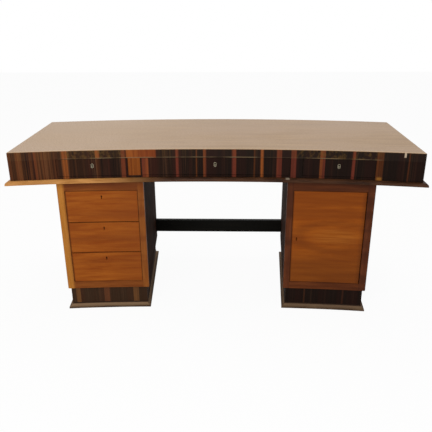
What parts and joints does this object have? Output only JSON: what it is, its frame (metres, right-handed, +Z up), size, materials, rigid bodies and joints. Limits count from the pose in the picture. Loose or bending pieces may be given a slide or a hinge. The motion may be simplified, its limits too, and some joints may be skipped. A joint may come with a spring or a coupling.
{
  "type": "writing desk",
  "caption": "Pedestal writing desk with a hollow-curved front and bowed back, shallow lockable drawers under the top, a drawer stack on one side and a cupboard on the other.",
  "frame": {"origin": "centre of the bounding box on the floor", "axes": "+X to the sitter's right, +Y to the back of the desk, +Z up"},
  "size_m": [1.798, 0.7472, 0.78],
  "materials": {
    "top_veneer": "satin",
    "apron_veneer": "satin",
    "lip_veneer": "satin",
    "honey_veneer": "satin",
    "dark_veneer": "satin",
    "plinth_veneer": "satin",
    "black_wood": "satin",
    "inside_wood": "matt",
    "brass": "aged"
  },
  "bodies": {
    "desk": {"top_board": "top_veneer", "case_bottom": "lip_veneer", "front_rail": "apron_veneer", "case_back": "apron_veneer", "fixed_front_left": "apron_veneer", "fixed_front_right": "apron_veneer", "case_end_left": "apron_veneer", "case_end_right": "apron_veneer", "divider_left": "apron_veneer", "divider_right": "apron_veneer", "partition_left": "inside_wood", "partition_right": "inside_wood", "guide_left": "inside_wood", "guide_right": "inside_wood", "case_bearers": "inside_wood", "cupboard_shelf": "inside_wood", "pedestal_left_boards": "inside_wood", "pedestal_right_boards": "inside_wood", "pedestal_left_bearers": "inside_wood", "pedestal_left_inner_side": "dark_veneer", "pedestal_left_outer_side": "dark_veneer", "pedestal_left_back": "dark_veneer", "pedestal_left_plinth": "plinth_veneer", "pedestal_left_base_moulding": "plinth_veneer", "pedestal_right_inner_side": "dark_veneer", "pedestal_right_outer_side": "dark_veneer", "pedestal_right_back": "dark_veneer", "pedestal_right_plinth": "plinth_veneer", "pedestal_right_base_moulding": "plinth_veneer", "pedestal_left_frame": "honey_veneer", "pedestal_right_frame": "dark_veneer", "stretcher": "black_wood", "door_pivots": "brass"},
    "apron_left_drawer": {"apron_left_front": "apron_veneer", "apron_left_sides": "inside_wood", "apron_left_bottom": "inside_wood", "apron_left_lock": "brass"},
    "apron_middle_drawer": {"apron_middle_front": "apron_veneer", "apron_middle_sides": "inside_wood", "apron_middle_bottom": "inside_wood", "apron_middle_lock": "brass"},
    "apron_right_drawer": {"apron_right_front": "apron_veneer", "apron_right_sides": "inside_wood", "apron_right_bottom": "inside_wood", "apron_right_lock": "brass"},
    "stack_low_drawer": {"stack_low_front": "honey_veneer", "stack_low_sides": "inside_wood", "stack_low_bottom": "inside_wood", "stack_low_lock": "brass"},
    "stack_mid_drawer": {"stack_mid_front": "honey_veneer", "stack_mid_sides": "inside_wood", "stack_mid_bottom": "inside_wood", "stack_mid_lock": "brass"},
    "stack_high_drawer": {"stack_high_front": "honey_veneer", "stack_high_sides": "inside_wood", "stack_high_bottom": "inside_wood", "stack_high_lock": "brass"},
    "cupboard_door": {"door_panel": "honey_veneer", "door_lock": "brass"}
  },
  "joints": [
    {"name": "apron_left_slide", "type": "slide", "parent": "desk", "child": "apron_left_drawer", "axis": [0, -1, 0], "range_m": [0, 0.3]},
    {"name": "apron_middle_slide", "type": "slide", "parent": "desk", "child": "apron_middle_drawer", "axis": [0, -1, 0], "range_m": [0, 0.3]},
    {"name": "apron_right_slide", "type": "slide", "parent": "desk", "child": "apron_right_drawer", "axis": [0, -1, 0], "range_m": [0, 0.3]},
    {"name": "stack_low_slide", "type": "slide", "parent": "desk", "child": "stack_low_drawer", "axis": [0.0628, -0.998, 0], "range_m": [0, 0.3]},
    {"name": "stack_mid_slide", "type": "slide", "parent": "desk", "child": "stack_mid_drawer", "axis": [0.0628, -0.998, 0], "range_m": [0, 0.3]},
    {"name": "stack_high_slide", "type": "slide", "parent": "desk", "child": "stack_high_drawer", "axis": [0.0628, -0.998, 0], "range_m": [0, 0.3]},
    {"name": "cupboard_hinge", "type": "hinge", "parent": "desk", "child": "cupboard_door", "pos_m": [0.66006, -0.29887, 0.368], "axis": [0, 0, 1], "range_deg": [0, 90]}
  ]
}
